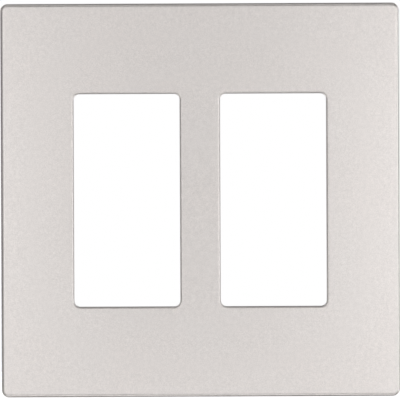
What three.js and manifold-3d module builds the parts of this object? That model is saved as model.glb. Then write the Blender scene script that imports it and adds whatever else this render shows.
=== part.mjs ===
// A two-gang screwless wall plate for decorator switches and receptacles.
//
// It comes apart into a clip-on cover, the sub-plate that the cover clips to, and the four
// captive screws, each with a retaining washer, that fasten the sub-plate to the yokes of the
// two devices behind it.
//
// Every piece is drawn flat: x to the right, y up the wall, z out of the wall towards the room.
// z = 0 is the back of the sub-plate, which rests on the device yokes. The group at the end
// stands the drawing up, so that the plate faces -Y with +Z up. All sizes are in millimetres.

import * as THREE from "three";
import { mergeVertices } from "three/addons/utils/BufferGeometryUtils.js";
import Module from "manifold-3d";

const wasm = await Module();
wasm.setup();

// ---------------------------------------------------------------- driving dimensions

const GANG_PITCH = 46.04; // between the centres of two ganged devices, 1 13/16 in
const SCREW_PITCH = 96.84; // between the two plate screws of a decorator device, 3 13/16 in
const YOKE_THICKNESS = 1.3; // the wall lies this far behind the seat of the sub-plate

// The clear opening is at the back of its lining, which flares out by the draft to the fillet.
const OPENING = { width: 33.3, height: 66.8, corner: 1.9, draft: 0.15, fillet: 0.6 };

const COVER = {
  width: 125.4,
  height: 123.8,
  corner: 2.2, // plan radius of the four corners
  front: 5.3, // front face above the yoke seat, at the rim of the face
  crown: 0.75, // how much the middle of the face stands above its rim
  fillet: 1.1, // round edge between face and side walls
  draft: 0.15, // how far the side walls lean in by the time they reach the fillet
  cornerLoss: 0.75, // the corners' plan radius shrinks by this share of the fillet
  wall: 1.8,
  inside: 3.8, // inner side of the face, above the yoke seat
  insideCorner: 1,
  skirt: 1.3, // thickness of the wall that lines each opening
  skirtEnd: 1.9,
};

// Each rib's root is how far it runs into the face, and sink how far all of them run into a wall.
const COVER_RIBS = {
  width: 0.8,
  sink: 0.45,
  upright: { place: 53.5, depth: 0.5, root: 0.45 },
  level: { place: 39.3, depth: 0.4, root: 0.35 },
};

// In the lower wall, for a screwdriver's blade. Half of its reach is inside the plate.
const PRY_NOTCH = { width: 9, reach: 5.4, top: -0.2 };

const SUB = {
  width: 118.6,
  height: 112.0,
  corner: 5.0,
  thickness: 1.6,
  rib: 1.2, // thickness of every upright rib
  ribTop: 3.0,
  collarTop: 3.5,
  collarGap: 0.45, // between the cover's skirt and the collar round it
  windowGap: 0.65, // how much the windows clear the cover's openings, each side
  uprightBars: [-36, -10, 10, 36], // ribs from the collars to the rim
  levelBars: [-33, 0, 33],
};

const LIGHTENING_HOLES = {
  corner: 2,
  sizes: [
    { x: 49.8, y: 16.5, width: 8, height: 25 },
    { x: 51.8, y: 44, width: 8, height: 8 },
  ],
};

// On the left and right edges, to centre the cover.
const SIDE_PAD = { reach: 1.2, length: 6, low: 0.4, places: [-33, 33] };

const BOSS = {
  slotTravel: 2.0, // sideways play that lets the plate be levelled
  radius: 6.2,
  top: 3.6,
  headPocket: { radius: 3.9, floor: 1.8 },
  hole: 2.05,
  washerPocket: { radius: 4.6, floor: 0.95 },
};

const SCREW = {
  shank: 1.75, // No. 6-32 major radius
  length: 12.7,
  point: 0.9,
  headRadius: 3.5,
  headHeight: 1.5,
  headEdge: 0.55,
  seatGap: 0.1,
  slot: { width: 1.1, depth: 0.75 },
  cross: { span: 3.9, width: 1.1, depth: 1.1 },
};

const WASHER = { outer: 4.1, inner: 1.95, thickness: 0.6, level: 0.1 };

const SNAP = {
  width: 8.0,
  positions: [-GANG_PITCH, 0, GANG_PITCH],
  root: 1.0, // how far an arm's foot runs into the sub-plate
  slit: 1.2, // the slits beside an arm let it bend
  slitLength: 5.0,
  foot: 2.4, // how far an arm's foot reaches out from the edge of the sub-plate
  arm: 1.2,
  armTop: 3.5,
  barb: 0.95,
  barbLand: 0.4,
  shoulder: 2.0,
  catchWidth: 9.0,
  catchBite: 0.5,
  catchLand: 0.5,
  catchShoulder: 1.7,
  catchEnd: -0.2,
};

const CORNER_STEPS = 6; // facets in a quarter turn of an outline's corner
const FILLET_STEPS = 4;
const SIDE_STEPS = 4; // spans along each straight side of a lofted outline
const CROWN_RINGS = 3;
const CROWN_CORNER = 0.25; // their corner radius as a share of their height, to keep facets wide
const ARC_MIDDLE = 0.3; // how far the middle of a round edge lies from its ends, per radius
const SLOT_STEPS = { boss: 8, pocket: 6, hole: 4 }; // half of the facets in a slot's round end
const ROUND_FACETS = 24;
const LEAST_CORNER = 0.5;
const WELD = 1e-4; // vertices closer than this are one
const OVER = 1; // how far a cutting tool runs past what it cuts
const OVER_RISE = 0.4; // how much the opening's tool rises as it runs past the face

// ---------------------------------------------------------------- solids

/** A closed geometry as a solid for joining and cutting. */
function solid(geometry) {
  const bare = new THREE.BufferGeometry();
  const source = geometry.index ? geometry.toNonIndexed() : geometry;
  bare.setAttribute("position", source.getAttribute("position"));
  const merged = mergeVertices(bare, WELD);
  return new wasm.Manifold(
    new wasm.Mesh({
      numProp: 3,
      vertProperties: merged.attributes.position.array,
      triVerts: new Uint32Array(merged.index.array),
    }),
  );
}

/** The named mesh of a finished solid. */
function meshOf(name, body, material) {
  const result = body.getMesh();
  const geometry = new THREE.BufferGeometry();
  geometry.setAttribute("position", new THREE.BufferAttribute(result.vertProperties, 3));
  geometry.setIndex(new THREE.BufferAttribute(result.triVerts, 1));
  const flat = geometry.toNonIndexed();
  flat.computeVertexNormals();
  const mesh = new THREE.Mesh(flat, material);
  mesh.name = name;
  return mesh;
}

function union(solids) {
  return solids.reduce((all, one) => all.add(one));
}

/** A rectangle with round corners, centred on (x, y). */
function roundedRectangle(width, height, radius, x = 0, y = 0) {
  const right = width / 2;
  const top = height / 2;
  const shape = new THREE.Shape();
  shape.absarc(x + right - radius, y + top - radius, radius, 0, Math.PI / 2);
  shape.absarc(x - right + radius, y + top - radius, radius, Math.PI / 2, Math.PI);
  shape.absarc(x - right + radius, y - top + radius, radius, Math.PI, 1.5 * Math.PI);
  shape.absarc(x + right - radius, y - top + radius, radius, 1.5 * Math.PI, 2 * Math.PI);
  return shape;
}

/** A slot lying along x: a circle stretched by its travel. */
function slotShape(radius, travel, x, y) {
  const shape = new THREE.Shape();
  shape.absarc(x + travel / 2, y, radius, -Math.PI / 2, Math.PI / 2);
  shape.absarc(x - travel / 2, y, radius, Math.PI / 2, 1.5 * Math.PI);
  return shape;
}

/** A flat outline between two levels. Each arc of the outline gets twice curveSegments facets. */
function slab(shape, low, high, curveSegments = CORNER_STEPS / 2) {
  const geometry = new THREE.ExtrudeGeometry(shape, {
    depth: high - low,
    bevelEnabled: false,
    curveSegments,
  });
  return solid(geometry.translate(0, 0, low));
}

function block(width, height, low, high, x = 0, y = 0) {
  const geometry = new THREE.BoxGeometry(width, height, high - low);
  return solid(geometry.translate(x, y, (low + high) / 2));
}

/** A wall of the given thickness just inside a rounded rectangle. */
function frame(width, height, radius, thickness, low, high, x = 0, y = 0) {
  const outside = roundedRectangle(width, height, radius, x, y);
  const inside = roundedRectangle(
    width - 2 * thickness,
    height - 2 * thickness,
    Math.max(radius - thickness, LEAST_CORNER),
    x,
    y,
  );
  return slab(outside, low, high).subtract(slab(inside, low - OVER, high + OVER));
}

/** An upright section of [y, z] points, carried along x. */
function barAlongX(section, width, x) {
  const shape = new THREE.Shape(section.map(([y, z]) => new THREE.Vector2(y, z)));
  const geometry = new THREE.ExtrudeGeometry(shape, { depth: width, bevelEnabled: false });
  const turn = new THREE.Matrix4().makeBasis(
    new THREE.Vector3(0, 1, 0),
    new THREE.Vector3(0, 0, 1),
    new THREE.Vector3(1, 0, 0),
  );
  return solid(geometry.applyMatrix4(turn).translate(x - width / 2, 0, 0));
}

/** The points of one closed rounded outline. level is a height, or a height for each (x, y). */
function ring(width, height, radius, level, centreX = 0) {
  const points = [];
  const corners = [
    [1, 1, 0],
    [-1, 1, Math.PI / 2],
    [-1, -1, Math.PI],
    [1, -1, 1.5 * Math.PI],
  ];
  const arcs = corners.map(([sideX, sideY, start]) => {
    const middle = new THREE.Vector2(sideX * (width / 2 - radius), sideY * (height / 2 - radius));
    return Array.from({ length: CORNER_STEPS + 1 }, (_, i) => {
      const angle = start + (i / CORNER_STEPS) * (Math.PI / 2);
      return new THREE.Vector2(Math.cos(angle), Math.sin(angle)).multiplyScalar(radius).add(middle);
    });
  });
  arcs.forEach((arc, i) => {
    points.push(...arc);
    const next = arcs[(i + 1) % arcs.length][0];
    for (let s = 1; s < SIDE_STEPS; s++) {
      points.push(arc[CORNER_STEPS].clone().lerp(next, s / SIDE_STEPS));
    }
  });
  return points.map((p) => {
    const z = typeof level === "function" ? level(centreX + p.x, p.y) : level;
    return new THREE.Vector3(centreX + p.x, p.y, z);
  });
}

/** A closed skin through equal rings, from the lowest to the highest, with a fan at each end. */
function loft(rings) {
  const count = rings[0].length;
  const position = [];
  const face = (...corners) => corners.forEach((p) => position.push(p.x, p.y, p.z));
  for (let r = 0; r + 1 < rings.length; r++) {
    for (let i = 0; i < count; i++) {
      const j = (i + 1) % count;
      face(rings[r][i], rings[r][j], rings[r + 1][j]);
      face(rings[r][i], rings[r + 1][j], rings[r + 1][i]);
    }
  }
  const middleOf = (points) =>
    points.reduce((sum, p) => sum.add(p), new THREE.Vector3()).divideScalar(count);
  const bottom = rings[0];
  const top = rings[rings.length - 1];
  const bottomMiddle = middleOf(bottom);
  const topMiddle = middleOf(top);
  for (let i = 0; i < count; i++) {
    const j = (i + 1) % count;
    face(bottomMiddle, bottom[j], bottom[i]);
    face(topMiddle, top[i], top[j]);
  }
  const geometry = new THREE.BufferGeometry();
  geometry.setAttribute("position", new THREE.Float32BufferAttribute(position, 3));
  return solid(geometry);
}

const quarterTurn = (steps) =>
  Array.from({ length: steps + 1 }, (_, i) => (i / steps) * (Math.PI / 2));

const GANGS = [-GANG_PITCH / 2, GANG_PITCH / 2];

// ---------------------------------------------------------------- the cover

const faceWidth = COVER.width - 2 * (COVER.draft + COVER.fillet);
const faceHeight = COVER.height - 2 * (COVER.draft + COVER.fillet);

/** The height of the crowned face over the yoke seat. */
function faceLevel(x, y) {
  const across = 1 - (x / (faceWidth / 2)) ** 2;
  const along = 1 - (y / (faceHeight / 2)) ** 2;
  return COVER.front + COVER.crown * across * along;
}

/** The cover's outer skin: side walls, round edge and crowned face. */
function coverBlank() {
  const rings = [ring(COVER.width, COVER.height, COVER.corner, -YOKE_THICKNESS)];
  for (const angle of quarterTurn(FILLET_STEPS)) {
    const inset = COVER.draft + COVER.fillet * (1 - Math.cos(angle));
    const level = COVER.front - COVER.fillet * (1 - Math.sin(angle));
    const radius = COVER.corner - COVER.cornerLoss * COVER.fillet * (1 - Math.cos(angle));
    rings.push(ring(COVER.width - 2 * inset, COVER.height - 2 * inset, radius, level));
  }
  for (let i = 1; i <= CROWN_RINGS; i++) {
    const share = 1 - i / (CROWN_RINGS + 0.5); // the last ring leaves room for the loft's fan
    const height = faceHeight * share;
    rings.push(ring(faceWidth * share, height, CROWN_CORNER * height, faceLevel));
  }
  return loft(rings);
}

/** The tool that cuts one opening, with a sloping edge where it meets the face. */
function openingTool(x) {
  const { width, height, corner, draft, fillet } = OPENING;
  const rings = [-YOKE_THICKNESS - OVER, COVER.skirtEnd].map((level) =>
    ring(width, height, corner, level, x),
  );
  for (const [grow, rise] of [
    [draft, -fillet],
    [draft + ARC_MIDDLE * fillet, -ARC_MIDDLE * fillet],
    [draft + fillet, 0],
    [draft + fillet + OVER, OVER_RISE * OVER],
  ]) {
    const level = (px, py) => faceLevel(px, py) + rise;
    rings.push(ring(width + 2 * grow, height + 2 * grow, corner + grow, level, x));
  }
  return loft(rings);
}

/** The wedges inside the top and bottom walls that the sub-plate's arms hold. */
function coverCatches() {
  const wall = COVER.height / 2 - COVER.wall;
  const { catchBite, catchLand, catchShoulder, catchEnd, catchWidth, positions } = SNAP;
  const root = wall + COVER.wall / 2;
  const wedge = [
    [root, catchEnd],
    [wall, catchEnd],
    [wall - catchBite, catchShoulder - catchLand],
    [wall - catchBite, catchShoulder],
    [root, catchShoulder],
  ];
  const top = positions.map((x) => barAlongX(wedge, catchWidth, x));
  return [...top, ...top.map((one) => one.mirror([0, 1, 0]))];
}

/** Low ribs that stiffen the inside of the face. */
function coverRibs() {
  const { width, sink, upright, level } = COVER_RIBS;
  const height = COVER.height - 2 * (COVER.wall - sink);
  const span = COVER.width - 2 * (COVER.wall - sink);
  const rib = (across, along, { depth, root }, x, y) =>
    block(across, along, COVER.inside - depth, COVER.inside + root, x, y);
  return [-1, 1].flatMap((side) => [
    rib(width, height, upright, side * upright.place, 0),
    rib(span, width, level, 0, side * level.place),
  ]);
}

function coverPlate() {
  const cavity = slab(
    roundedRectangle(
      COVER.width - 2 * COVER.wall,
      COVER.height - 2 * COVER.wall,
      COVER.insideCorner,
    ),
    -YOKE_THICKNESS - OVER,
    COVER.inside,
  );
  const skirts = GANGS.map((x) =>
    slab(
      roundedRectangle(
        OPENING.width + 2 * COVER.skirt,
        OPENING.height + 2 * COVER.skirt,
        OPENING.corner + COVER.skirt,
        x,
      ),
      COVER.skirtEnd,
      COVER.inside + OVER,
    ),
  );
  const { width, reach, top } = PRY_NOTCH;
  const pryNotches = GANGS.map((x) =>
    block(width, reach, -YOKE_THICKNESS - OVER, top, x, -COVER.height / 2),
  );
  const shell = coverBlank().subtract(cavity.subtract(union(skirts)));
  return union([shell, ...coverCatches(), ...coverRibs()])
    .subtract(union([...GANGS.map(openingTool), ...pryNotches]));
}

// ---------------------------------------------------------------- the sub-plate

const windowWidth = OPENING.width + 2 * SUB.windowGap;
const windowHeight = OPENING.height + 2 * SUB.windowGap;
const screwPlaces = [
  { name: "upper_left", x: GANGS[0], y: SCREW_PITCH / 2 },
  { name: "upper_right", x: GANGS[1], y: SCREW_PITCH / 2 },
  { name: "lower_left", x: GANGS[0], y: -SCREW_PITCH / 2 },
  { name: "lower_right", x: GANGS[1], y: -SCREW_PITCH / 2 },
];

/** Upright ribs round the rim, round each window and between them. */
function subPlateRibs() {
  const root = SUB.thickness / 2;
  const rim = frame(SUB.width, SUB.height, SUB.corner, SUB.rib, root, SUB.ribTop);
  const reach = 2 * (COVER.skirt + SUB.collarGap + SUB.rib);
  const collars = GANGS.map((x) =>
    frame(
      OPENING.width + reach,
      OPENING.height + reach,
      OPENING.corner + reach / 2,
      SUB.rib,
      root,
      SUB.collarTop,
      x,
    ),
  );
  const collarTop = (OPENING.height + reach) / 2 - SUB.rib / 2;
  const collarSide = GANG_PITCH / 2 + (OPENING.width + reach) / 2 - SUB.rib / 2;
  const rimTop = SUB.height / 2 - SUB.rib / 2;
  const rimSide = SUB.width / 2 - SUB.rib / 2;
  const bars = [];
  for (const side of [-1, 1]) {
    for (const x of SUB.uprightBars) {
      const middle = (side * (collarTop + rimTop)) / 2;
      bars.push(block(SUB.rib, rimTop - collarTop, root, SUB.ribTop, x, middle));
    }
    for (const y of SUB.levelBars) {
      const middle = (side * (collarSide + rimSide)) / 2;
      bars.push(block(rimSide - collarSide, SUB.rib, root, SUB.ribTop, middle, y));
    }
  }
  return [rim, ...collars, ...bars];
}

/** The holes that save material beside the windows. */
function lighteningHoles() {
  const holes = [];
  for (const { x, y, width, height } of LIGHTENING_HOLES.sizes) {
    const outline = roundedRectangle(width, height, LIGHTENING_HOLES.corner, x, y);
    const right = slab(outline, -OVER, SUB.ribTop + OVER);
    holes.push(right, right.mirror([0, 1, 0]));
  }
  return [...holes, ...holes.map((one) => one.mirror([1, 0, 0]))];
}

/** A screw boss, with the webs that tie it to the rim and to the collar round the window. */
function bossAt({ x, y }) {
  const round = slotShape(BOSS.radius, BOSS.slotTravel, x, y);
  const boss = slab(round, SUB.thickness / 2, BOSS.top, SLOT_STEPS.boss);
  const reach = OPENING.height / 2 + COVER.skirt + SUB.rib;
  const length = SUB.height / 2 - SUB.rib / 2 - reach;
  const middle = Math.sign(y) * (reach + length / 2);
  const webs = [-1, 1].map((side) => {
    const place = x + side * (BOSS.radius - SUB.rib);
    return block(SUB.rib, length, SUB.thickness / 2, SUB.ribTop, place, middle);
  });
  return union([boss, ...webs]);
}

/** The head pocket, the screw's slot and the washer's pocket of one boss, as one tool. */
function bossTool({ x, y }) {
  const { headPocket, hole, washerPocket, slotTravel, top } = BOSS;
  const slot = (radius, low, high, steps) =>
    slab(slotShape(radius, slotTravel, x, y), low, high, steps);
  return union([
    slot(headPocket.radius, headPocket.floor, top + OVER, SLOT_STEPS.pocket),
    slot(hole, -OVER, top + OVER, SLOT_STEPS.hole),
    slot(washerPocket.radius, -OVER, washerPocket.floor, SLOT_STEPS.pocket),
  ]);
}

/** The slits that free each snap arm from the top or bottom edge, and the gap in the rim there. */
function snapSlits() {
  const edge = SUB.height / 2;
  const tools = [];
  for (const x of SNAP.positions) {
    for (const side of [-1, 1]) {
      const offset = (side * (SNAP.width + SNAP.slit)) / 2;
      const middle = edge - SNAP.slitLength / 2 + OVER / 2;
      tools.push(
        block(SNAP.slit, SNAP.slitLength + OVER, -OVER, SUB.ribTop + OVER, x + offset, middle),
      );
    }
    const gap = SNAP.width + SNAP.slit;
    tools.push(block(gap, 2 * SUB.rib + OVER, SUB.thickness, SUB.ribTop + OVER, x, edge));
  }
  return [...tools, ...tools.map((one) => one.mirror([0, 1, 0]))];
}

/** The arms that hold the cover: a foot past the edge, an upright and a barb facing outwards. */
function snapArms() {
  const edge = SUB.height / 2;
  const back = edge + SNAP.foot - SNAP.arm;
  const face = edge + SNAP.foot;
  const section = [
    [edge - SNAP.root, 0],
    [face, 0],
    [face, SNAP.shoulder],
    [face + SNAP.barb, SNAP.shoulder],
    [face + SNAP.barb, SNAP.shoulder + SNAP.barbLand],
    [face, SNAP.armTop],
    [back, SNAP.armTop],
    [back, SUB.thickness],
    [edge - SNAP.root, SUB.thickness],
  ];
  const top = SNAP.positions.map((x) => barAlongX(section, SNAP.width, x));
  return [...top, ...top.map((one) => one.mirror([0, 1, 0]))];
}

function sidePads() {
  const { reach, length, low, places } = SIDE_PAD;
  const right = places.map((y) => block(2 * reach, length, low, SUB.ribTop, SUB.width / 2, y));
  return [...right, ...right.map((one) => one.mirror([1, 0, 0]))];
}

function subPlate() {
  const base = slab(roundedRectangle(SUB.width, SUB.height, SUB.corner), 0, SUB.thickness);
  const windows = GANGS.map((x) =>
    slab(
      roundedRectangle(windowWidth, windowHeight, OPENING.corner + SUB.windowGap, x),
      -OVER,
      SUB.thickness + OVER,
    ),
  );
  const body = union([base, ...subPlateRibs(), ...sidePads(), ...screwPlaces.map(bossAt)]);
  const cut = body.subtract(
    union([...windows, ...lighteningHoles(), ...screwPlaces.map(bossTool), ...snapSlits()]),
  );
  return union([cut, ...snapArms()]);
}

// ---------------------------------------------------------------- screws and washers

/** A solid turned about z from [radius, z] points, listed from the lowest to the highest. */
function turned(profile) {
  const points = profile.map(([radius, z]) => new THREE.Vector2(radius, z));
  const geometry = new THREE.LatheGeometry(points, ROUND_FACETS);
  return solid(geometry.rotateX(Math.PI / 2));
}

/** A binding-head screw with a combined slot and cross recess, its head seated at z = 0. */
function mountingScrew() {
  const { shank, length, point, headRadius, headHeight, headEdge, slot, cross } = SCREW;
  const dome = quarterTurn(FILLET_STEPS).map((angle) => [
    headRadius * Math.cos(angle),
    headEdge + (headHeight - headEdge) * Math.sin(angle),
  ]);
  dome[dome.length - 1][0] = 0;
  const body = turned([
    [0, -length],
    [shank - point, -length],
    [shank, -length + point],
    [shank, 0],
    [headRadius, 0],
    ...dome,
  ]);
  const above = headHeight + OVER;
  return body
    .subtract(block(2 * headRadius + OVER, slot.width, headHeight - slot.depth, above))
    .subtract(block(cross.span, cross.width, headHeight - cross.depth, above))
    .subtract(block(cross.width, cross.span, headHeight - cross.depth, above));
}

/** The washer that grips a screw's thread and keeps it in the sub-plate. */
function retainingWasher() {
  const { outer, inner, thickness } = WASHER;
  return turned([
    [inner, 0],
    [outer, 0],
    [outer, thickness],
    [inner, thickness],
    [inner, 0],
  ]);
}

// ---------------------------------------------------------------- the assembly

const metallicPaint = new THREE.MeshStandardMaterial({
  color: 0xd6d1ce,
  roughness: 0.45,
  metalness: 0.35,
});
const greyPlastic = new THREE.MeshStandardMaterial({
  color: 0xdedcd6,
  roughness: 0.55,
  metalness: 0,
});
const zincPlate = new THREE.MeshStandardMaterial({
  color: 0xb9bcc0,
  roughness: 0.3,
  metalness: 1,
});
const fibre = new THREE.MeshStandardMaterial({ color: 0x9c5a3c, roughness: 0.85, metalness: 0 });

const wallPlate = new THREE.Group();
wallPlate.add(meshOf("cover_plate", coverPlate(), metallicPaint));
wallPlate.add(meshOf("sub_plate", subPlate(), greyPlastic));

const screwBody = mountingScrew();
const washerBody = retainingWasher();
for (const { name, x, y } of screwPlaces) {
  const screw = meshOf(`mounting_screw_${name}`, screwBody, zincPlate);
  screw.position.set(x, y, BOSS.headPocket.floor + SCREW.seatGap);
  const washer = meshOf(`retaining_washer_${name}`, washerBody, fibre);
  washer.position.set(x, y, WASHER.level);
  wallPlate.add(screw, washer);
}
wallPlate.rotation.x = Math.PI / 2;

export default wallPlate;
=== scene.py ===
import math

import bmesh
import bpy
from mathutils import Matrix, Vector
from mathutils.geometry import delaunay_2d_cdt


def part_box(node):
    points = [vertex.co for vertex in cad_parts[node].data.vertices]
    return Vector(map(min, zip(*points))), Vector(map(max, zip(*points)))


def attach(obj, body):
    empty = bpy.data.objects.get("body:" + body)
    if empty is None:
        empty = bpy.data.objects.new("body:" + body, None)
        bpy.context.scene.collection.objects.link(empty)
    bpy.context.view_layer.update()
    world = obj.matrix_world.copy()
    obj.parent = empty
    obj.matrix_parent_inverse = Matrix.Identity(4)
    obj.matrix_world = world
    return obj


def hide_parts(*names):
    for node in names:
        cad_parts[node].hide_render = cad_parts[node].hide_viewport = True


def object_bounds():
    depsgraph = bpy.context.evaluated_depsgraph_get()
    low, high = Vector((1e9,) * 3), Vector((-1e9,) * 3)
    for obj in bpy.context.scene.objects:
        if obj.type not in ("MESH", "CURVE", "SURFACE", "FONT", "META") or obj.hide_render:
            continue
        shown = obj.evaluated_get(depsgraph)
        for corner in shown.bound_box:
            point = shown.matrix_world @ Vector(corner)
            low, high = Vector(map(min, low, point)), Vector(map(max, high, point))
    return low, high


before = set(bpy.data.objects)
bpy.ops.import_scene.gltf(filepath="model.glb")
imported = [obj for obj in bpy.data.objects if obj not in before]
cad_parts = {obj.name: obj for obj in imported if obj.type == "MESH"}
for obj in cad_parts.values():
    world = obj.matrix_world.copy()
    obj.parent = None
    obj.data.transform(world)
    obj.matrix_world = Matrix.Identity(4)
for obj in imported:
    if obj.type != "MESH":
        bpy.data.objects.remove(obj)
cad_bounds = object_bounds()

# The looks of a two-gang screwless wall plate: a metallic painted cover, a moulded sub-plate,
# and four zinc plated screws with fibre washers.
#
# Every piece is drawn flat, in millimetres, as the CAD draws it: x to the right, y up the
# wall and z out of the wall, with z = 0 at the back of the sub-plate. to_row() turns a drawn
# point into the row frame, in metres.

MM = 0.001


def to_row(x, y, z):
    return Vector((x, -z, y)) * MM


def drawn_box(node):
    """A CAD node's lowest and highest corners as drawn points."""
    low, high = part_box(node)
    return (
        Vector((low.x, low.z, -high.y)) / MM,
        Vector((high.x, high.z, -low.y)) / MM,
    )


# ---------------------------------------------------------------- sizes

OPENING = {"width": 33.3, "height": 66.8, "corner": 1.9, "draft": 0.15, "fillet": 0.6}
GANGS = (-23.02, 23.02)
SCREW_RISE = 48.42

COVER_LOW, COVER_HIGH = drawn_box("cover_plate")
COVER = {
    "width": COVER_HIGH.x - COVER_LOW.x,
    "height": COVER_HIGH.y - COVER_LOW.y,
    "rim": COVER_LOW.z,
    "crown_top": COVER_HIGH.z,
    "crown": 0.75,
    "corner": 2.2,
    "least_corner": 0.25,
    "fillet": 1.1,
    "draft": 0.15,
    "wall": 1.8,
    "inside": 3.8,
    "skirt": 1.3,
    "skirt_end": 1.9,
    "inner_fillet": 0.5,
    "edge": 0.2,
}
FACE_WIDTH = COVER["width"] - 2 * (COVER["draft"] + COVER["fillet"])
FACE_HEIGHT = COVER["height"] - 2 * (COVER["draft"] + COVER["fillet"])
FRONT = COVER["crown_top"] - COVER["crown"]

# The wedges that the snap arms hold: "end", "ramp_top" and "shoulder" are levels of z.
CATCH = {"width": 9.0, "root": 0.9, "bite": 0.5, "end": -0.2, "ramp_top": 1.2, "shoulder": 1.7,
         "round": 0.12}
COVER_RIB = {"x": 53.5, "y": 39.3, "width": 0.8, "corner": 0.1, "edge": 0.2,
             "upright_height": 0.5, "level_height": 0.4, "root_step": 0.1}
PRY_NOTCH = {"width": 9.0, "height": 5.4, "corner": 0.4, "top": -0.2, "edge": 0.3}
EJECTOR_MARK = {"columns": (-56.3, -23, 0, 23, 56.3), "rise": 44.5, "radius": 1.4, "depth": 0.06}

SUB = {
    "width": 118.6,
    "height": 112.0,
    "corner": 5.0,
    "thickness": 1.6,
    "rib": 1.2,
    "rib_top": 3.0,
    "collar_top": 3.5,
    "collar_gap": 0.45,
    "collar_draft": 0.08,
    "window_gap": 0.65,
    "edge": 0.2,
}
ROOT = SUB["thickness"] / 2  # what stands on the sub-plate's sheet starts inside it
BOSS = {"radius": 6.2, "travel": 2.0, "top": 3.6, "edge": 0.25, "draft": 0.1,
        "head": 3.9, "head_floor": 1.8, "hole": 2.05, "hole_edge": 0.1, "hole_over": 0.3,
        "washer": 4.6, "washer_floor": 0.95}
BAR = {"columns": (-36, -10, 10, 36), "rows": (-33, 0, 33), "corner": 0.1, "edge": 0.15,
       "draft": 0.05, "below_rim": 0.02}
LIGHTENING_HOLES = (((49.8, 16.5), (8, 25)), ((51.8, 44), (8, 8)))  # places in one quarter, sizes
HOLE_CORNER = 2
SNAP = {"width": 8.0, "places": (-46.04, 0.0, 46.04), "slit": 1.2, "slit_length": 5.0,
        "slit_corner": 0.5, "gap_corner": 0.1, "root": 1.0, "foot": 2.4, "arm": 1.2,
        "shoulder": 2.0, "barb": 0.95, "land": 0.4, "top": 3.5, "round": 0.2}
SIDE_PAD = {"size": (2.4, 6), "rise": 33, "corner": 0.6, "low": 0.4, "edges": (0.15, 0.3)}
ARROW = {"half_width": 2.4, "foot": 42, "tip": 46.5, "round": 0.4, "relief": 0.3}
PIN_MARK = {"columns": ((-36, 49.5), (0, 38), (36, 49.5)), "radius": 2.2, "depth": 0.08}

SCREW = {"major": 1.75, "minor": 1.35, "pitch": 0.794, "length": 12.7, "point": 0.9,
         "crest_cut": 0.05, "neck": 1.45, "neck_top": 1.7, "neck_length": 0.5,
         "head": 3.5, "head_height": 1.5, "head_edge": 0.45, "ease": 0.15, "ease_rise": 0.12}
RECESS = {"edge": 0.1, "slot_width": 1.0, "slot_depth": 0.7, "slot_corner": 0.05,
          "slot_flare": 0.05, "cross_length": 2.4, "cross_width": 0.75, "cross_depth": 1.05,
          "cross_corner": 0.1, "cross_flare": 0.35}
SCREW_PLACES = {
    "upper_left": (GANGS[0], SCREW_RISE),
    "upper_right": (GANGS[1], SCREW_RISE),
    "lower_left": (GANGS[0], -SCREW_RISE),
    "lower_right": (GANGS[1], -SCREW_RISE),
}
WASHER = {"outer": 4.1, "inner": 1.64, "edge": 0.08}

# How finely the cover is meshed: the steps round its corners and its round edges, the parts
# that each side is cut into (across, upright), the narrow bands that follow the edges of the
# face, and the spacing of the points that fill the face and the ceiling.
MESH = {"corner": 10, "outer_fillet": 12, "opening_fillet": 10, "inner_fillet": 4,
        "outer_spans": (24, 24), "opening_spans": (8, 16), "bands": (0.4, 1.2),
        "face": 4.0, "ceiling": 8.0}

PAST = 1.0  # how far a cutting tool runs past the surface that it cuts
FLARE = 0.3  # the slope of a cutting tool's mouth, outside the hole that it cuts
LEAST_CORNER = 0.02  # the smallest corner radius of a prism
MOST_OF_SIDE = 0.45  # the share of a side that one rounded corner may take
HAIR = 0.001  # how much smaller than a half circle's radius the corners of a slot are


# ---------------------------------------------------------------- outlines and skins


def quarter(steps):
    """Evenly spaced angles from 0 to a right angle."""
    return [math.pi / 2 * i / steps for i in range(steps + 1)]


def outline(width, height, radius, x=0.0, y=0.0, steps=8, spans=(1, 1)):
    """The (x, y) points of a rectangle with round corners, anticlockwise from the right."""
    corners = ((1, 1), (-1, 1), (-1, -1), (1, -1))
    arcs = []
    for turn, (side_x, side_y) in enumerate(corners):
        middle = Vector((x + side_x * (width / 2 - radius), y + side_y * (height / 2 - radius)))
        start = turn * math.pi / 2
        arcs.append([
            middle + Vector((math.cos(start + a), math.sin(start + a))) * radius
            for a in quarter(steps)
        ])
    points = []
    for turn, arc in enumerate(arcs):
        points += arc
        following = arcs[(turn + 1) % 4][0]
        count = spans[turn % 2]
        points += [arc[-1].lerp(following, i / count) for i in range(1, count)]
    return points


def signed_distance(point, width, height, radius, x=0.0):
    """How far a point lies outside a rounded rectangle. It is negative inside."""
    qx = abs(point.x - x) - (width / 2 - radius)
    qy = abs(point.y) - (height / 2 - radius)
    return math.hypot(max(qx, 0), max(qy, 0)) + min(max(qx, qy), 0) - radius


def new_object(bm, name):
    """Makes an object of a bmesh, with its faces pointing out, and frees the bmesh."""
    bmesh.ops.recalc_face_normals(bm, faces=bm.faces)
    mesh = bpy.data.meshes.new(name)
    bm.to_mesh(mesh)
    bm.free()
    obj = bpy.data.objects.new(name, mesh)
    bpy.context.scene.collection.objects.link(obj)
    return obj


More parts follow.
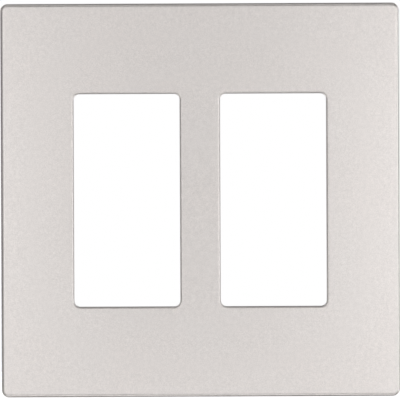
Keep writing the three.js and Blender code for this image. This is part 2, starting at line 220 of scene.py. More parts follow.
class Skin:
    """A mesh made of rings of points, bridged one to the next."""

    weld = 1e-7  # metres: rings that end on the same points are joined

    def __init__(self):
        self.bm = bmesh.new()

    def ring(self, points, level):
        """Adds a ring at a level, which is a number or a function of x and y."""
        height = level if callable(level) else lambda x, y: level
        return [self.bm.verts.new(to_row(p.x, p.y, height(p.x, p.y))) for p in points]

    def bridge(self, first, second):
        for i in range(len(first)):
            j = (i + 1) % len(first)
            self.bm.faces.new((first[i], first[j], second[j], second[i]))

    def loft(self, rings):
        for first, second in zip(rings, rings[1:]):
            self.bridge(first, second)

    def cap(self, ring):
        self.bm.faces.new(ring)

    def close(self, rings, name):
        """Bridges the rings, closes both ends and makes the object."""
        self.loft(rings)
        self.cap(rings[0])
        self.cap(rings[-1])
        return self.finish(name)

    def fill(self, outer, holes, level, pitch, inside):
        """Fills between an outer ring and the rings round holes with evenly spread triangles.

        inside(point, margin) says whether a point is in the filled region, with a margin."""
        loops = [outer, *holes]
        verts = [v for loop in loops for v in loop]
        points = [Vector((v.co.x, v.co.z)) / MM for v in verts]
        edges = []
        start = 0
        for loop in loops:
            count = len(loop)
            edges += [(start + i, start + (i + 1) % count) for i in range(count)]
            start += count
        low = Vector((min(p.x for p in points), min(p.y for p in points)))
        high = Vector((max(p.x for p in points), max(p.y for p in points)))
        columns = round((high.x - low.x) / pitch)
        rows = round((high.y - low.y) / pitch)
        for i in range(columns + 1):
            for j in range(rows + 1):
                p = Vector((low.x + (high.x - low.x) * i / columns,
                            low.y + (high.y - low.y) * j / rows))
                if inside(p, 0.5 * pitch):
                    points.append(p)
                    verts.append(self.bm.verts.new(to_row(p.x, p.y, level(p.x, p.y))))
        within_the_edges, tolerance = 1, 1e-5
        result = delaunay_2d_cdt(points, edges, [], within_the_edges, tolerance)
        triangles, origins = result[2], result[3]
        for triangle in triangles:
            corners = [origins[i][0] for i in triangle]
            middle = sum((points[i] for i in corners), Vector((0, 0))) / 3
            if inside(middle, 0):
                self.bm.faces.new([verts[i] for i in corners])

    def finish(self, name):
        bmesh.ops.remove_doubles(self.bm, verts=self.bm.verts, dist=self.weld)
        return new_object(self.bm, name)


def rounded_edge(edge, steps=3):
    """(inset, drop) pairs that round an edge, from the wall to the top."""
    return [(edge * (1 - math.cos(a)), edge * (1 - math.sin(a))) for a in quarter(steps)]


def prism(size, corner, low, high, at=(0.0, 0.0), edges=(0.15, 0.15), draft=0.0, steps=6):
    """A block of a rounded outline with round edges. It narrows by draft from low to high."""
    skin = Skin()
    rings = []

    def add(inset, level):
        radius = max(corner - inset, LEAST_CORNER)
        points = outline(size[0] - 2 * inset, size[1] - 2 * inset, radius, *at, steps)
        rings.append(skin.ring(points, level))

    low_edge, high_edge = edges
    if low_edge:
        for inset, drop in reversed(rounded_edge(low_edge)):
            add(inset, low + drop)
    else:
        add(0, low)
    if high_edge:
        for inset, drop in rounded_edge(high_edge):
            add(draft + inset, high - drop)
    else:
        add(draft, high)
    return skin.close(rings, "prism")


def bore(size, corner, low, high, at=(0.0, 0.0), edges=(0.15, 0.15), over=PAST, steps=6):
    """A tool that cuts a hole with round edges through a wall between two levels.

    An edge of None leaves that end shut: the tool stops there, as for a pocket's floor."""
    skin = Skin()
    rings = []

    def add(grow, level):
        points = outline(size[0] + 2 * grow, size[1] + 2 * grow, corner + grow, *at, steps)
        rings.append(skin.ring(points, level))

    low_edge, high_edge = edges
    if low_edge is None:
        add(0, low)
    else:
        add(low_edge + over, low - FLARE * over)
        for inset, drop in reversed(rounded_edge(low_edge)[:-1]):
            add(inset, low + drop)
    if high_edge is None:
        add(0, high)
    else:
        for inset, drop in rounded_edge(high_edge)[:-1]:
            add(inset, high - drop)
        add(high_edge + over, high + FLARE * over)
    return skin.close(rings, "bore")


def rounded_section(points, radius, steps=3):
    """The points of a polygon with each corner rounded by up to a radius."""
    corners = [Vector(p) for p in points]
    result = []
    for i, corner in enumerate(corners):
        before = corners[i - 1] - corner
        after = corners[(i + 1) % len(corners)] - corner
        reach = min(radius, MOST_OF_SIDE * before.length, MOST_OF_SIDE * after.length)
        start = corner + before.normalized() * reach
        end = corner + after.normalized() * reach
        for k in range(steps + 1):
            t = k / steps
            result.append(start.lerp(corner, t).lerp(corner.lerp(end, t), t))
    return result


def bar_along_x(points, width, x, radius):
    """A section of (y, z) points with round corners, carried along x."""
    section = rounded_section(points, radius)
    skin = Skin()
    rings = [
        [skin.bm.verts.new(to_row(x + side * width / 2, p.x, p.y)) for p in section]
        for side in (-1, 1)
    ]
    return skin.close(rings, "bar")


def bars_at_the_snaps(points, width, radius):
    """A (y, z) section carried along x at each snap arm's place, on the top and the bottom edge."""
    flipped = [(-y, z) for y, z in points]
    return [
        bar_along_x(section, width, x, radius)
        for section in (points, flipped)
        for x in SNAP["places"]
    ]


def turned(profile, name, at, facets=48):
    """A solid turned about the out-of-wall axis through at, from (radius, z) points."""
    skin = Skin()
    rings = []
    turns = [2 * math.pi * i / facets for i in range(facets)]
    for radius, level in profile:
        if radius == 0:
            rings.append([skin.bm.verts.new(to_row(at[0], at[1], level))])
        else:
            points = [
                Vector((at[0] + radius * math.cos(a), at[1] + radius * math.sin(a)))
                for a in turns
            ]
            rings.append(skin.ring(points, level))
    for first, second in zip(rings, rings[1:]):
        if len(first) == 1 or len(second) == 1:
            tip, ring = (first[0], second) if len(first) == 1 else (second[0], first)
            for i in range(facets):
                skin.bm.faces.new((tip, ring[i], ring[(i + 1) % facets]))
        else:
            skin.bridge(first, second)
    return skin.finish(name)


def disc(radius, low, high, at, facets):
    return turned([(0, low), (radius, low), (radius, high), (0, high)], "disc", at, facets)


# ---------------------------------------------------------------- joining and finishing


def bake_modifiers(obj):
    graph = bpy.context.evaluated_depsgraph_get()
    mesh = bpy.data.meshes.new_from_object(obj.evaluated_get(graph))
    obj.modifiers.clear()
    obj.data = mesh


def combine(target, tools, operation):
    """Joins tools to the target, or cuts them from it, and removes them."""
    for tool in tools:
        modifier = target.modifiers.new("combine", "BOOLEAN")
        modifier.operation = operation
        modifier.object = tool
        modifier.solver = "MANIFOLD"
    bake_modifiers(target)
    for tool in tools:
        bpy.data.objects.remove(tool)
    return target


def smooth(obj, sharp_degrees=35, merge_mm=0.002):
    """Merges near-coincident points and shades the mesh smooth up to an angle."""
    bm = bmesh.new()
    bm.from_mesh(obj.data)
    bmesh.ops.remove_doubles(bm, verts=bm.verts, dist=merge_mm * MM)
    bmesh.ops.dissolve_degenerate(bm, dist=merge_mm * MM, edges=bm.edges)
    bm.to_mesh(obj.data)
    bm.free()
    obj.data.shade_smooth()
    obj.data.set_sharp_from_angle(angle=math.radians(sharp_degrees))
    modifier = obj.modifiers.new("normals", "WEIGHTED_NORMAL")
    modifier.keep_sharp = True
    bake_modifiers(obj)
    return obj


# ---------------------------------------------------------------- the cover


def face_level(x, y):
    """The height of the crowned face."""
    across = max(0.0, 1 - (x / (FACE_WIDTH / 2)) ** 2)
    along = max(0.0, 1 - (y / (FACE_HEIGHT / 2)) ** 2)
    return FRONT + COVER["crown"] * across * along


def cover_outline(inset):
    """The width, height and corner radius of the cover's outline, moved inwards."""
    corner = max(COVER["corner"] - inset, COVER["least_corner"])
    return COVER["width"] - 2 * inset, COVER["height"] - 2 * inset, corner


def opening_outline(grow):
    """The width, height and corner radius of an opening, moved outwards."""
    return OPENING["width"] + 2 * grow, OPENING["height"] + 2 * grow, OPENING["corner"] + grow


def cover_plate():
    """The cover's shell as one skin, then its catches, ribs, marks and pry notches."""
    skin = Skin()

    def outer_ring(inset, level):
        points = outline(*cover_outline(inset), 0, 0, MESH["corner"], MESH["outer_spans"])
        return skin.ring(points, level)

    def opening_ring(x, grow, level):
        points = outline(*opening_outline(grow), x, 0, MESH["corner"], MESH["opening_spans"])
        return skin.ring(points, level)

    edge, draft, fillet = COVER["edge"], COVER["draft"], COVER["fillet"]
    bands = MESH["bands"]
    outside = []
    for inset, drop in reversed(rounded_edge(edge)):
        outside.append(outer_ring(inset, COVER["rim"] + drop))
    for inset, drop in rounded_edge(fillet, MESH["outer_fillet"]):
        outside.append(outer_ring(draft + inset, FRONT - drop))
    for band in bands:
        outside.append(outer_ring(draft + fillet + band, face_level))

    wall, inner = COVER["wall"], COVER["inner_fillet"]
    inside = []
    for inset, drop in reversed(rounded_edge(edge)):
        inside.append(outer_ring(wall - draft - inset, COVER["rim"] + drop))
    for inset, drop in rounded_edge(inner, MESH["inner_fillet"]):
        inside.append(outer_ring(wall + inset, COVER["inside"] - drop))
    skin.bridge(outside[0], inside[0])
    skin.loft(outside)
    skin.loft(inside)

    face_holes = []
    ceiling_holes = []
    end, skirt = COVER["skirt_end"], COVER["skirt"]
    lip = OPENING["draft"] + OPENING["fillet"]
    for x in GANGS:
        lining = [opening_ring(x, lip + band, face_level) for band in reversed(bands)]
        for grow, drop in reversed(rounded_edge(OPENING["fillet"], MESH["opening_fillet"])):
            grow += OPENING["draft"]
            lining.append(opening_ring(x, grow, lambda px, py, d=drop: face_level(px, py) - d))
        for grow, drop in rounded_edge(edge):
            lining.append(opening_ring(x, grow, end + drop))
        for grow, drop in reversed(rounded_edge(edge)):
            lining.append(opening_ring(x, skirt - grow, end + drop))
        for grow, drop in rounded_edge(inner, MESH["inner_fillet"]):
            lining.append(opening_ring(x, skirt + draft + grow, COVER["inside"] - drop))
        skin.loft(lining)
        face_holes.append(lining[0])
        ceiling_holes.append(lining[-1])

    def clear_of(inset, grow):
        """A test for points that lie inside the moved outline and outside the grown openings."""
        def test(p, margin):
            if signed_distance(p, *cover_outline(inset)) > -margin:
                return False
            return all(signed_distance(p, *opening_outline(grow), x) > margin for x in GANGS)
        return test

    skin.fill(outside[-1], face_holes, face_level, MESH["face"],
              clear_of(draft + fillet + bands[-1], lip + bands[-1]))
    skin.fill(inside[-1], ceiling_holes, lambda x, y: COVER["inside"], MESH["ceiling"],
              clear_of(wall + inner, skirt + draft + inner))
    cover = skin.finish("cover")

    combine(cover, [*cover_catches(), *cover_ribs()], "UNION")
    combine(cover, [*pry_notches(), *ejector_marks()], "DIFFERENCE")
    return smooth(cover)


def cover_catches():
    """The wedges inside the upper and lower walls that the snap arms hold."""
    wall = COVER["height"] / 2 - COVER["wall"]
    root, crest = wall + CATCH["root"], wall - CATCH["bite"]
    wedge = [
        (root, CATCH["end"]),
        (wall, CATCH["end"]),
        (crest, CATCH["ramp_top"]),
        (crest, CATCH["shoulder"]),
        (root, CATCH["shoulder"]),
    ]
    return bars_at_the_snaps(wedge, CATCH["width"], CATCH["round"])


def cover_ribs():
    """Low ribs that stiffen the inside of the face, two upright and two level.

    Their ends and roots are sunk in the moulding, and the two kinds differ in height and in
    root, so that no two faces coincide where they cross."""
    rib, ceiling, wall = COVER_RIB, COVER["inside"], COVER["wall"]
    upright = (rib["width"], COVER["height"] - 1.5 * wall)
    level = (COVER["width"] - 1.5 * wall, rib["width"])
    root = ceiling + wall / 4
    ribs = []
    for side in (-1, 1):
        for size, at, height, top in (
            (upright, (side * rib["x"], 0), rib["upright_height"], root),
            (level, (0, side * rib["y"]), rib["level_height"], root - rib["root_step"]),
        ):
            ribs.append(prism(size, rib["corner"], ceiling - height, top, at, (rib["edge"], 0)))
    return ribs


def pry_notches():
    """Slots in the lower wall for a screwdriver's blade, one below each opening."""
    size = (PRY_NOTCH["width"], PRY_NOTCH["height"])
    low, high = COVER["rim"] - PAST, PRY_NOTCH["top"]
    edges = (0, PRY_NOTCH["edge"])
    return [
        prism(size, PRY_NOTCH["corner"], low, high, (x, -COVER["height"] / 2), edges)
        for x in GANGS
    ]


def ejector_marks():
    """The shallow round marks that a mould's ejector pins leave on the inside."""
    low, high = COVER["inside"] - PAST, COVER["inside"] + EJECTOR_MARK["depth"]
    return [
        disc(EJECTOR_MARK["radius"], low, high, (x, y), facets=32)
        for x in EJECTOR_MARK["columns"]
        for y in (-EJECTOR_MARK["rise"], EJECTOR_MARK["rise"])
    ]


def paint_outside(cover, paint, bare):
    """The outside and the linings of the openings are painted; the inside is bare plastic."""
    above_ceiling, in_from_edge, out_from_opening = 0.2, 0.9, 0.6
    cover.data.materials.clear()
    cover.data.materials.append(paint)
    cover.data.materials.append(bare)
    for face in cover.data.polygons:
        x, y, z = (face.center.x / MM, face.center.z / MM, -face.center.y / MM)
        point = Vector((x, y))
        rim = signed_distance(point, *cover_outline(0))
        lining = min(signed_distance(point, *opening_outline(0), gang) for gang in GANGS)
        painted = (
            z > COVER["inside"] + above_ceiling
            or rim > -in_from_edge
            or lining < out_from_opening
        )
        face.material_index = 0 if painted else 1


# ---------------------------------------------------------------- the sub-plate


def slot_size(radius):
    """The size and corner of a slot lying along x, for a screw that can shift sideways."""
    return (2 * radius + BOSS["travel"], 2 * radius), radius - HAIR


def around_opening(grow):
    """The size and corner of a window that follows an opening."""
    width, height, corner = opening_outline(grow)
    return (width, height), corner


def sub_plate():
    """A tray with a rim. What stands on it is joined, its holes are cut, and its arms are added."""
    thickness, edge, rib = SUB["thickness"], SUB["edge"], SUB["rib"]
    plate = prism((SUB["width"], SUB["height"]), SUB["corner"], 0, SUB["rib_top"], edges=(edge, edge))
    inside = (SUB["width"] - 2 * rib, SUB["height"] - 2 * rib)
    combine(plate, [bore(inside, SUB["corner"] - rib, thickness, SUB["rib_top"], edges=(None, edge))],
            "DIFFERENCE")
    combine(plate, [*collars(), *stiffening_bars(), *bosses(), *side_pads(), raised_arrow()], "UNION")
    combine(plate, [*windows(), *boss_tools(), *lightening_holes(), *snap_slits(), *pin_marks()],
            "DIFFERENCE")
    combine(plate, snap_arms(), "UNION")
    return smooth(plate)


def collars():
    """The upright rib round each window."""
    size, corner = around_opening(COVER["skirt"] + SUB["collar_gap"] + SUB["rib"])
    edges, draft = (0, SUB["edge"]), SUB["collar_draft"]
    return [prism(size, corner, ROOT, SUB["collar_top"], (x, 0), edges, draft) for x in GANGS]


def windows():
    """The room for the cover's skirt inside each collar, and the window below it."""
    edge = SUB["edge"]
    tools = []
    for x in GANGS:
        size, corner = around_opening(COVER["skirt"] + SUB["collar_gap"])
        tools.append(bore(size, corner, SUB["thickness"], SUB["collar_top"], (x, 0), (None, edge)))
        size, corner = around_opening(SUB["window_gap"])
        tools.append(bore(size, corner, 0, SUB["thickness"], (x, 0), (edge, edge)))
    return tools


def stiffening_bars():
    """Ribs that run from the collars to the rim, and webs beside each screw boss."""
    high, rib = SUB["rib_top"] - BAR["below_rim"], SUB["rib"]
    reach = COVER["skirt"] + SUB["collar_gap"] + rib / 2
    collar_top = OPENING["height"] / 2 + reach
    collar_side = GANGS[1] + OPENING["width"] / 2 + reach
    rim_top, rim_side = (SUB["height"] - rib) / 2, (SUB["width"] - rib) / 2
    webs = [gang + side * (BOSS["radius"] - rib) for gang in GANGS for side in (-1, 1)]
    upright = (rib, rim_top - collar_top)
    level = (rim_side - collar_side, rib)
    spots = []
    for side in (-1, 1):
        for x in (*BAR["columns"], *webs):
            spots.append((upright, (x, side * (collar_top + rim_top) / 2)))
        for y in BAR["rows"]:
            spots.append((level, (side * (collar_side + rim_side) / 2, y)))
    return [
        prism(size, BAR["corner"], ROOT, high, at, (0, BAR["edge"]), BAR["draft"])
        for size, at in spots
    ]


def bosses():
    size, corner = slot_size(BOSS["radius"])
    return [
        prism(size, corner, ROOT, BOSS["top"], at, (0, BOSS["edge"]), BOSS["draft"], steps=12)
        for at in SCREW_PLACES.values()
    ]


def boss_tools():
    """Each boss's pocket for the screw head, its slotted hole and its pocket for the washer."""
    floor, washer_floor = BOSS["head_floor"], BOSS["washer_floor"]
    head_size, head_corner = slot_size(BOSS["head"])
    hole_size, hole_corner = slot_size(BOSS["hole"])
    washer_size, washer_corner = slot_size(BOSS["washer"])
    hole_edges = (BOSS["hole_edge"], BOSS["hole_edge"])
    tools = []
    for at in SCREW_PLACES.values():
        tools += [
            bore(head_size, head_corner, floor, BOSS["top"], at, (None, BOSS["edge"]), steps=12),
            bore(hole_size, hole_corner, washer_floor, floor, at, hole_edges,
                 over=BOSS["hole_over"], steps=10),
            bore(washer_size, washer_corner, 0, washer_floor, at, (SUB["edge"], None), steps=12),
        ]
    return tools


def lightening_holes():
    edges = (SUB["edge"], SUB["edge"])
    return [
        bore(size, HOLE_CORNER, 0, SUB["thickness"], (side * x, end * y), edges)
        for (x, y), size in LIGHTENING_HOLES
        for side in (-1, 1)
        for end in (-1, 1)
    ]


def snap_slits():
    """The slits that free each snap arm, and the gap in the rim in front of it."""
    edge, pitch = SUB["height"] / 2, SNAP["width"] + SNAP["slit"]
    slit = (SNAP["slit"], SNAP["slit_length"] + PAST)
    gap = (pitch, 2 * SUB["rib"] + PAST)
    top = SUB["rib_top"] + PAST
    tools = []
    for x in SNAP["places"]:
        for end in (-1, 1):
            for side in (-1, 1):
                at = (x + side * pitch / 2, end * (edge + PAST - slit[1] / 2))
                tools.append(prism(slit, SNAP["slit_corner"], -PAST, top, at, (0, 0)))
            at = (x, end * edge)
            tools.append(prism(gap, SNAP["gap_corner"], SUB["thickness"], top, at, (0, 0)))
    return tools


def snap_arms():
    """The arms that hold the cover: a foot past the edge, an upright and a barb facing out."""
    root = SUB["height"] / 2 - SNAP["root"]
    face = SUB["height"] / 2 + SNAP["foot"]
    back, tip = face - SNAP["arm"], face + SNAP["barb"]
    section = [
        (root, 0),
        (face, 0),
        (face, SNAP["shoulder"]),
        (tip, SNAP["shoulder"]),
        (tip, SNAP["shoulder"] + SNAP["land"]),
        (face, SNAP["top"]),
        (back, SNAP["top"]),
        (back, SUB["thickness"]),
        (root, SUB["thickness"]),
    ]
    return bars_at_the_snaps(section, SNAP["width"], SNAP["round"])


def side_pads():
    """Small pads on the left and right edges that centre the cover."""
    pad = SIDE_PAD
    return [
        prism(pad["size"], pad["corner"], pad["low"], SUB["rib_top"], (side * SUB["width"] / 2, y),
              pad["edges"])
        for side in (-1, 1)
        for y in (-pad["rise"], pad["rise"])
    ]


def raised_arrow():
    """A plain arrow on the front that shows which way is up."""
    half, foot = ARROW["half_width"], ARROW["foot"]
    corners = rounded_section([(-half, foot), (half, foot), (0, ARROW["tip"])], ARROW["round"])
    skin = Skin()
    rings = [skin.ring(corners, level) for level in (ROOT, SUB["thickness"] + ARROW["relief"])]
    return skin.close(rings, "arrow")


def pin_marks():
    """Shallow round marks of the ejector pins on the back face."""
    return [
        disc(PIN_MARK["radius"], -PAST, PIN_MARK["depth"], (x, y), facets=40)
        for x, rise in PIN_MARK["columns"]
        for y in (-rise, rise)
    ]


# ---------------------------------------------------------------- screws and washers


def thread_core(at, low, high):
    """A solid with a helical ridge: rows of points follow the helix, so its crest is clean.

    The ridge stands a little proud, so that cutting it back leaves a flat crest."""
    columns, rows = 36, 8
    crest, minor, pitch = SCREW["major"] + SCREW["crest_cut"], SCREW["minor"], SCREW["pitch"]
    turns = math.ceil((high - low) / pitch) + 1
    bm = bmesh.new()

    def radius(row):
        share = (row % rows) / rows
        return minor + (crest - minor) * (1 - abs(2 * share - 1))

    def point(row, column):
        angle = 2 * math.pi * column / columns
        level = low - pitch + (row / rows + column / columns) * pitch
        r = radius(row)
        return bm.verts.new(to_row(at[0] + r * math.cos(angle), at[1] - r * math.sin(angle), level))

    last = turns * rows
    grid = [[point(row, column) for column in range(columns)] for row in range(last + 1)]
    for row in range(last):
        for column in range(columns - 1):
            bm.faces.new((grid[row][column], grid[row][column + 1],
                          grid[row + 1][column + 1], grid[row + 1][column]))
        if row + rows < last:  # the last column meets the first one, a pitch further on
            bm.faces.new((grid[row][-1], grid[row + rows][0],
                          grid[row + rows + 1][0], grid[row + 1][-1]))
    bottom = [*grid[0], *(grid[row][0] for row in range(rows, 0, -1))]
    top = [*grid[last], *(grid[last - row][-1] for row in range(1, rows + 1))]
    for ring, level in ((bottom, low - pitch / 2), (top, high + pitch)):
        middle = bm.verts.new(to_row(*at, level))
        for i, vert in enumerate(ring):
            bm.faces.new((middle, vert, ring[(i + 1) % len(ring)]))
    return new_object(bm, "thread")


def mounting_screw(at, seat):
    """A binding-head screw with a rolled thread and a combined slot and cross recess."""
    major, point, tip = SCREW["major"], SCREW["point"], seat - SCREW["length"]
    below_tip, into_head, envelope_top = 0.5, 0.1, 0.3
    screw = thread_core(at, tip - below_tip, seat + into_head)
    envelope = [(0, tip), (major - point, tip), (major, tip + point),
                (major, seat + envelope_top), (0, seat + envelope_top)]
    combine(screw, [turned(envelope, "envelope", at)], "INTERSECT")

    head, edge, height = SCREW["head"], SCREW["head_edge"], SCREW["head_height"]
    neck_end = seat - SCREW["neck_length"]
    dome = [
        (head * math.cos(a), seat + edge + (height - edge) * math.sin(a)) for a in quarter(12)[:-1]
    ]
    profile = [(0, neck_end), (SCREW["neck"], neck_end), (SCREW["neck_top"], seat),
               (head - SCREW["ease"], seat), (head, seat + SCREW["ease_rise"]),
               *dome, (0, seat + height)]
    combine(screw, [turned(profile, "head", at, facets=64)], "UNION")
    combine(screw, recess(at, seat + height), "DIFFERENCE")
    return smooth(screw, sharp_degrees=40, merge_mm=0.001)


def recess(at, top):
    """The tools that cut a slot across the head and a cross in its middle."""
    edges = (RECESS["edge"], 0)
    slot = (2 * SCREW["head"] + PAST, RECESS["slot_width"])
    tools = [prism(slot, RECESS["slot_corner"], top - RECESS["slot_depth"], top + PAST, at, edges,
                   -RECESS["slot_flare"])]
    arm = (RECESS["cross_length"], RECESS["cross_width"])
    for size in (arm, arm[::-1]):
        tools.append(prism(size, RECESS["cross_corner"], top - RECESS["cross_depth"], top, at, edges,
                           -RECESS["cross_flare"]))
    return tools


def retaining_washer(at, low, high):
    outer, inner, edge = WASHER["outer"], WASHER["inner"], WASHER["edge"]
    profile = [(inner, low + edge), (inner + edge, low), (outer - edge, low), (outer, low + edge),
               (outer, high - edge), (outer - edge, high), (inner + edge, high), (inner, high - edge),
               (inner, low + edge)]
    return smooth(turned(profile, "washer", at, facets=64), sharp_degrees=30, merge_mm=0.001)


# ---------------------------------------------------------------- materials


def new_material(name):
    material = bpy.data.materials.new(name)
    material.use_nodes = True
    shader = material.node_tree.nodes["Principled BSDF"]
    return material, material.node_tree, shader


def noise(tree, scale, detail, roughness=0.5):
    """Noise in object space; scale is in features per metre."""
    place = tree.nodes.get("Texture Coordinate") or tree.nodes.new("ShaderNodeTexCoord")
    texture = tree.nodes.new("ShaderNodeTexNoise")
    texture.inputs["Scale"].default_value = scale
    texture.inputs["Detail"].default_value = detail
    texture.inputs["Roughness"].default_value = roughness
    tree.links.new(place.outputs["Object"], texture.inputs["Vector"])
    return texture.outputs["Fac"]


def map_range(tree, value, low, high, start, stop):
    node = tree.nodes.new("ShaderNodeMapRange")
    node.inputs["From Min"].default_value = start
    node.inputs["From Max"].default_value = stop
    node.inputs["To Min"].default_value = low
    node.inputs["To Max"].default_value = high
    tree.links.new(value, node.inputs["Value"])
    return node.outputs["Result"]


def spread_noise(tree, scale, detail, roughness=0.5, low=0.0, high=1.0):
    """Noise whose usual values, 0.3 to 0.7, are spread from low to high."""
    return map_range(tree, noise(tree, scale, detail, roughness), low, high, 0.3, 0.7)


def mix_colours(tree, factor, first, second):
    """Mixes two colours, each a tuple or another node's output."""
    node = tree.nodes.new("ShaderNodeMix")
    node.data_type = "RGBA"
    tree.links.new(factor, node.inputs["Factor"])
    colour_a, colour_b, colour_result = 6, 7, 2  # sockets of other types share their names
    for socket, colour in ((node.inputs[colour_a], first), (node.inputs[colour_b], second)):
        if isinstance(colour, tuple):
            socket.default_value = (*colour, 1)
        else:
            tree.links.new(colour, socket)
    return node.outputs[colour_result]


def bump(tree, height, strength, distance):
    """Relief of a depth in metres."""
    node = tree.nodes.new("ShaderNodeBump")
    node.inputs["Strength"].default_value = strength
    node.inputs["Distance"].default_value = distance
    tree.links.new(height, node.inputs["Height"])
    return node.outputs["Normal"]


def dress(tree, shader, colour, roughness, relief):
    """Links a material's colour, roughness and relief to its shader."""
    for output, socket in ((colour, "Base Color"), (roughness, "Roughness"), (relief, "Normal")):
        tree.links.new(output, shader.inputs[socket])


def metallic_paint():
    """Satin warm silver paint: fine flakes, each a little lighter or darker, under a soft gloss."""
    material, tree, shader = new_material("metallic_paint")
    flakes = spread_noise(tree, scale=4200, detail=2)
    mottle = spread_noise(tree, scale=900, detail=3)
    clouds = spread_noise(tree, scale=60, detail=2)
    fine = mix_colours(tree, flakes, (0.605, 0.576, 0.56), (0.732, 0.699, 0.68))
    warm = mix_colours(tree, flakes, (0.612, 0.574, 0.555), (0.74, 0.697, 0.674))
    tint = mix_colours(tree, clouds, fine, warm)
    dull = mix_colours(tree, flakes, (0.566, 0.536, 0.52), (0.68, 0.646, 0.628))
    colour = mix_colours(tree, mottle, dull, tint)
    roughness = spread_noise(tree, scale=3800, detail=3, low=0.31, high=0.41)
    relief = bump(tree, noise(tree, scale=3000, detail=2), strength=0.25, distance=0.00002)
    dress(tree, shader, colour, roughness, relief)
    shader.inputs["Metallic"].default_value = 0.85
    return material


def bare_plastic(name, base):
    """Moulded thermoplastic with the fine matt texture of a spark-eroded mould."""
    material, tree, shader = new_material(name)
    darker = tuple(0.94 * c for c in base)
    colour = mix_colours(tree, spread_noise(tree, scale=45, detail=3), darker, base)
    roughness = spread_noise(tree, scale=2600, detail=3, low=0.42, high=0.6)
    relief = bump(tree, noise(tree, scale=4200, detail=3), strength=0.35, distance=0.00002)
    dress(tree, shader, colour, roughness, relief)
    shader.inputs["Subsurface Weight"].default_value = 0.08
    shader.inputs["Subsurface Radius"].default_value = (0.0015, 0.0012, 0.001)
    return material


def zinc_steel():
    """Bright zinc plate: bluish, a little cloudy, with fine pits and drawing marks."""
    material, tree, shader = new_material("zinc_steel")
    cloud = spread_noise(tree, scale=900, detail=4)
    colour = mix_colours(tree, cloud, (0.50, 0.53, 0.57), (0.68, 0.69, 0.70))
    roughness = spread_noise(tree, scale=2500, detail=3, low=0.2, high=0.38)
    pits = noise(tree, scale=6000, detail=4, roughness=0.6)
    dress(tree, shader, colour, roughness, bump(tree, pits, strength=0.3, distance=0.00001))
    shader.inputs["Metallic"].default_value = 1.0
    return material


def red_fibre():
    """Vulcanised fibre: pressed layers with a faint felted grain."""
    material, tree, shader = new_material("red_fibre")
    grain = spread_noise(tree, scale=3000, detail=5, roughness=0.7)
    colour = mix_colours(tree, grain, (0.20, 0.045, 0.02), (0.38, 0.11, 0.055))
    roughness = spread_noise(tree, scale=1500, detail=3, low=0.7, high=0.9)
    felt = noise(tree, scale=3500, detail=5, roughness=0.7)
    dress(tree, shader, colour, roughness, bump(tree, felt, strength=0.6, distance=0.00003))
    return material


# ---------------------------------------------------------------- camera, stage and light


def make_camera():
    """A long lens square on to the plate, rolled a little."""
    distance, frame_width = 3.0, 0.12562  # metres
    aside, roll = -0.00005, math.radians(0.25)
    data = bpy.data.cameras.new("camera")
    data.sensor_width = 36
    data.lens = data.sensor_width * distance / frame_width
    data.clip_end = 20
    camera = bpy.data.objects.new("camera", data)
    camera.location = (aside, -distance + cad_bounds[0].y, 0)
    camera.rotation_euler = (math.pi / 2, roll, 0)
    bpy.context.scene.collection.objects.link(camera)
    bpy.context.scene.camera = camera


def make_floor():
    """A pale sheet under the object. It glows a little, and light passes through it."""
    width, corner, glow = 900, 60, 0.72
    floor_level = cad_bounds[0].z
    skin = Skin()
    points = outline(width, width, corner, steps=12)
    skin.cap([skin.bm.verts.new(Vector((p.x * MM, p.y * MM, floor_level))) for p in points])
    floor = skin.finish("floor")
    material, _, shader = new_material("floor")
    shader.inputs["Base Color"].default_value = (0.9, 0.9, 0.9, 1)
    shader.inputs["Roughness"].default_value = 0.8
    shader.inputs["Emission Color"].default_value = (1, 1, 1, 1)
    shader.inputs["Emission Strength"].default_value = glow
    floor.data.materials.append(material)
    for ray in ("shadow", "diffuse", "glossy"):
        setattr(floor, "visible_" + ray, False)


def make_world():
    """White behind the object; a soft grey room lights it, a little more from behind."""
    front, back, blend = 0.195, 0.243, 0.35
    world = bpy.data.worlds.new("world")
    world.use_nodes = True
    tree = world.node_tree
    nodes, links = tree.nodes, tree.links
    nodes.clear()
    direction = nodes.new("ShaderNodeTexCoord")
    split = nodes.new("ShaderNodeSeparateXYZ")
    links.new(direction.outputs["Generated"], split.inputs[0])
    room = nodes.new("ShaderNodeBackground")
    strength = map_range(tree, split.outputs["Y"], front, back, -blend, blend)
    links.new(strength, room.inputs["Strength"])
    white = nodes.new("ShaderNodeBackground")
    white.inputs["Color"].default_value = (1, 1, 1, 1)
    seen = nodes.new("ShaderNodeLightPath")
    mix = nodes.new("ShaderNodeMixShader")
    links.new(seen.outputs["Is Camera Ray"], mix.inputs["Fac"])
    links.new(room.outputs[0], mix.inputs[1])
    links.new(white.outputs[0], mix.inputs[2])
    output = nodes.new("ShaderNodeOutputWorld")
    links.new(mix.outputs[0], output.inputs["Surface"])
    bpy.context.scene.world = world


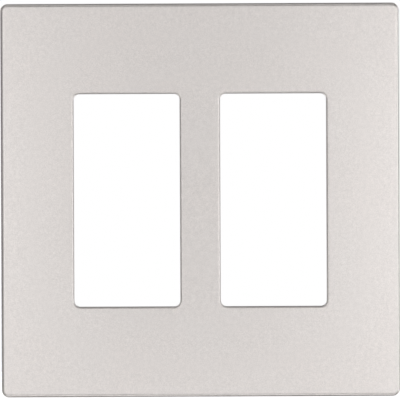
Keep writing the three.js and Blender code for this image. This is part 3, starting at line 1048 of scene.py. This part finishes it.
def make_lights():
    """Soft boxes all round the front, slim ones that lighten both sides, and four behind.

    Each has a place, a point that it faces and a size in metres, and a power in watts."""
    middle = (0, 0, 0)
    for name, place, target, size, power in (
        ("front", (0, -2.5, 0.3), middle, (1.2, 0.8), 2.65),
        ("slim_left", (-0.18, -0.5, 0), (-0.18, 0, 0), (0.14, 0.6), 0.455),
        ("slim_right", (0.18, -0.5, 0), (0.18, 0, 0), (0.14, 0.6), 0.535),
        ("slim_low", (0, -0.5, -0.2), (0, 0, -0.2), (0.3, 0.15), 0.2),
        ("wide_left", (-0.42, -0.42, 0), middle, (0.4, 0.7), 0.61),
        ("wide_right", (0.42, -0.42, 0), middle, (0.4, 0.7), 0.61),
        ("right_side", (0.66, -0.17, 0), middle, (0.25, 0.6), 1.4),
        ("over", (0, -0.22, 0.6), middle, (0.6, 0.25), 0.43),
        ("under", (0, -0.22, -0.6), middle, (0.6, 0.25), 0.99),
        ("back_left", (-0.55, 0.8, 0.45), middle, (0.8, 0.8), 2),
        ("back_right", (0.55, 0.8, 0.45), middle, (0.8, 0.8), 2),
        ("back_left_low", (-0.55, 0.8, -0.45), middle, (0.8, 0.8), 4),
        ("back_right_low", (0.55, 0.8, -0.45), middle, (0.8, 0.8), 4),
    ):
        data = bpy.data.lights.new(name, "AREA")
        data.shape = "RECTANGLE"
        data.size, data.size_y = size
        data.energy = power
        light = bpy.data.objects.new(name, data)
        light.location = place
        light.rotation_euler = (Vector(target) - Vector(place)).to_track_quat("-Z", "Y").to_euler()
        light.visible_camera = False
        bpy.context.scene.collection.objects.link(light)


# ---------------------------------------------------------------- the scene


def place(piece, name, body, node, slot, material=None):
    """Names a piece, gives it its material if one is given, hangs it on its body and hides the CAD
    node that it stands for.
    """
    piece.name = name
    piece.data.name = name
    if material:
        piece.data.materials.clear()
        piece.data.materials.append(material)
    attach(piece, body)
    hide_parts(node)


make_camera()
make_floor()
make_world()
make_lights()
bpy.context.scene.view_settings.view_transform = "Standard"

cover = cover_plate()
paint_outside(cover, metallic_paint(), bare_plastic("cover_plastic", (0.60, 0.59, 0.57)))
place(cover, "painted_cover", "cover", "cover_plate", "metallic_paint")

moulding = bare_plastic("moulded_plastic", (0.74, 0.73, 0.69))
place(sub_plate(), "moulded_sub_plate", "frame", "sub_plate", "moulded_plastic", moulding)

zinc = zinc_steel()
fibre = red_fibre()
for corner, at in SCREW_PLACES.items():
    body = "screw_" + corner
    node = "mounting_screw_" + corner
    seat = drawn_box(node)[0].z + SCREW["length"]
    place(mounting_screw(at, seat), "zinc_screw_" + corner, body, node, "zinc_steel", zinc)
    node = "retaining_washer_" + corner
    low, high = (end.z for end in drawn_box(node))
    place(retaining_washer(at, low, high), "fibre_washer_" + corner, body, node, "fibre", fibre)
